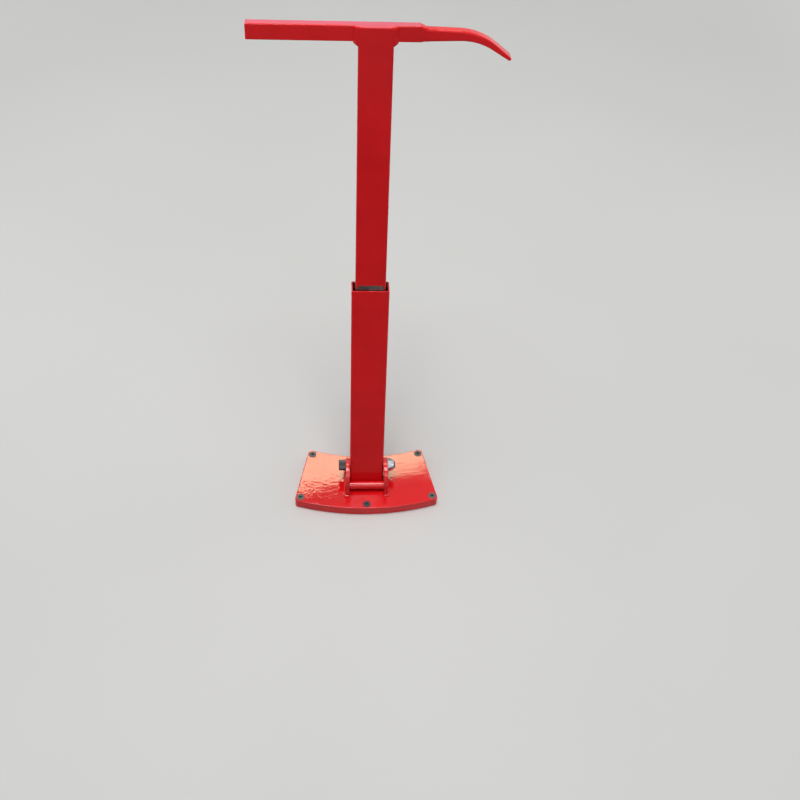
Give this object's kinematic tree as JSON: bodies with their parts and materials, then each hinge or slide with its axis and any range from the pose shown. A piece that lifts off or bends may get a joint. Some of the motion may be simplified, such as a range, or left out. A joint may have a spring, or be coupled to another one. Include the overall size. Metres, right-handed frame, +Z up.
{
  "type": "manhole cover lifter",
  "caption": "Magnetic manhole cover lifter: arc-shaped magnet base, hinged sleeve that leans back on a stop bar, and a lift-out T-handle whose cross bar ends in a bent pick.",
  "frame": {"origin": "underside of the magnet base, midway along its depth, on its line of symmetry", "axes": "+Z up from the magnet face, +X towards the pick, -Y towards the convex front of the base, the side the handle folds down to"},
  "size_m": [0.2972, 0.2068, 0.6985],
  "materials": {
    "red_paint": "glossy red powder coat with a light orange peel",
    "worn_tube_paint": "glossy red powder coat, bare steel where the tube plugs into the sleeve",
    "bare_steel": "bare steel, slightly dull",
    "magnet_nickel": "nickel-plated magnet blocks",
    "black_oxide": "black oxide, slightly oily",
    "zinc_plate": "bright zinc plate",
    "nylon": "natural nylon"
  },
  "bodies": {
    "base": {"top_plate": "red_paint", "magnet_housing": "red_paint", "magnets": "magnet_nickel", "wear_plate": "bare_steel", "plate_screws": "black_oxide", "ear_left": "red_paint", "ear_right": "red_paint", "ear_weld_left": "red_paint", "ear_weld_right": "red_paint", "stop_bar": "red_paint", "pivot_bolt": "black_oxide", "pivot_nut": "zinc_plate", "nut_insert": "nylon"},
    "sleeve": {"lower_sleeve": "red_paint", "pivot_bush": "bare_steel", "rest_pin": "red_paint"},
    "handle": {"handle_tube": "worn_tube_paint", "tube_cap": "red_paint", "cross_bar": "red_paint", "bar_weld_left": "red_paint", "bar_weld_right": "red_paint", "pick": "red_paint", "pick_weld": "red_paint"}
  },
  "joints": [
    {"name": "handle_tilt", "type": "hinge", "parent": "base", "child": "sleeve", "pos_m": [0, 0.0115, 0.046], "axis": [1, 0, 0], "range_deg": [0, 102]},
    {"name": "handle_lift", "type": "slide", "parent": "sleeve", "child": "handle", "axis": [0, 0.2079, 0.9781], "range_m": [0, 0.14]}
  ]
}
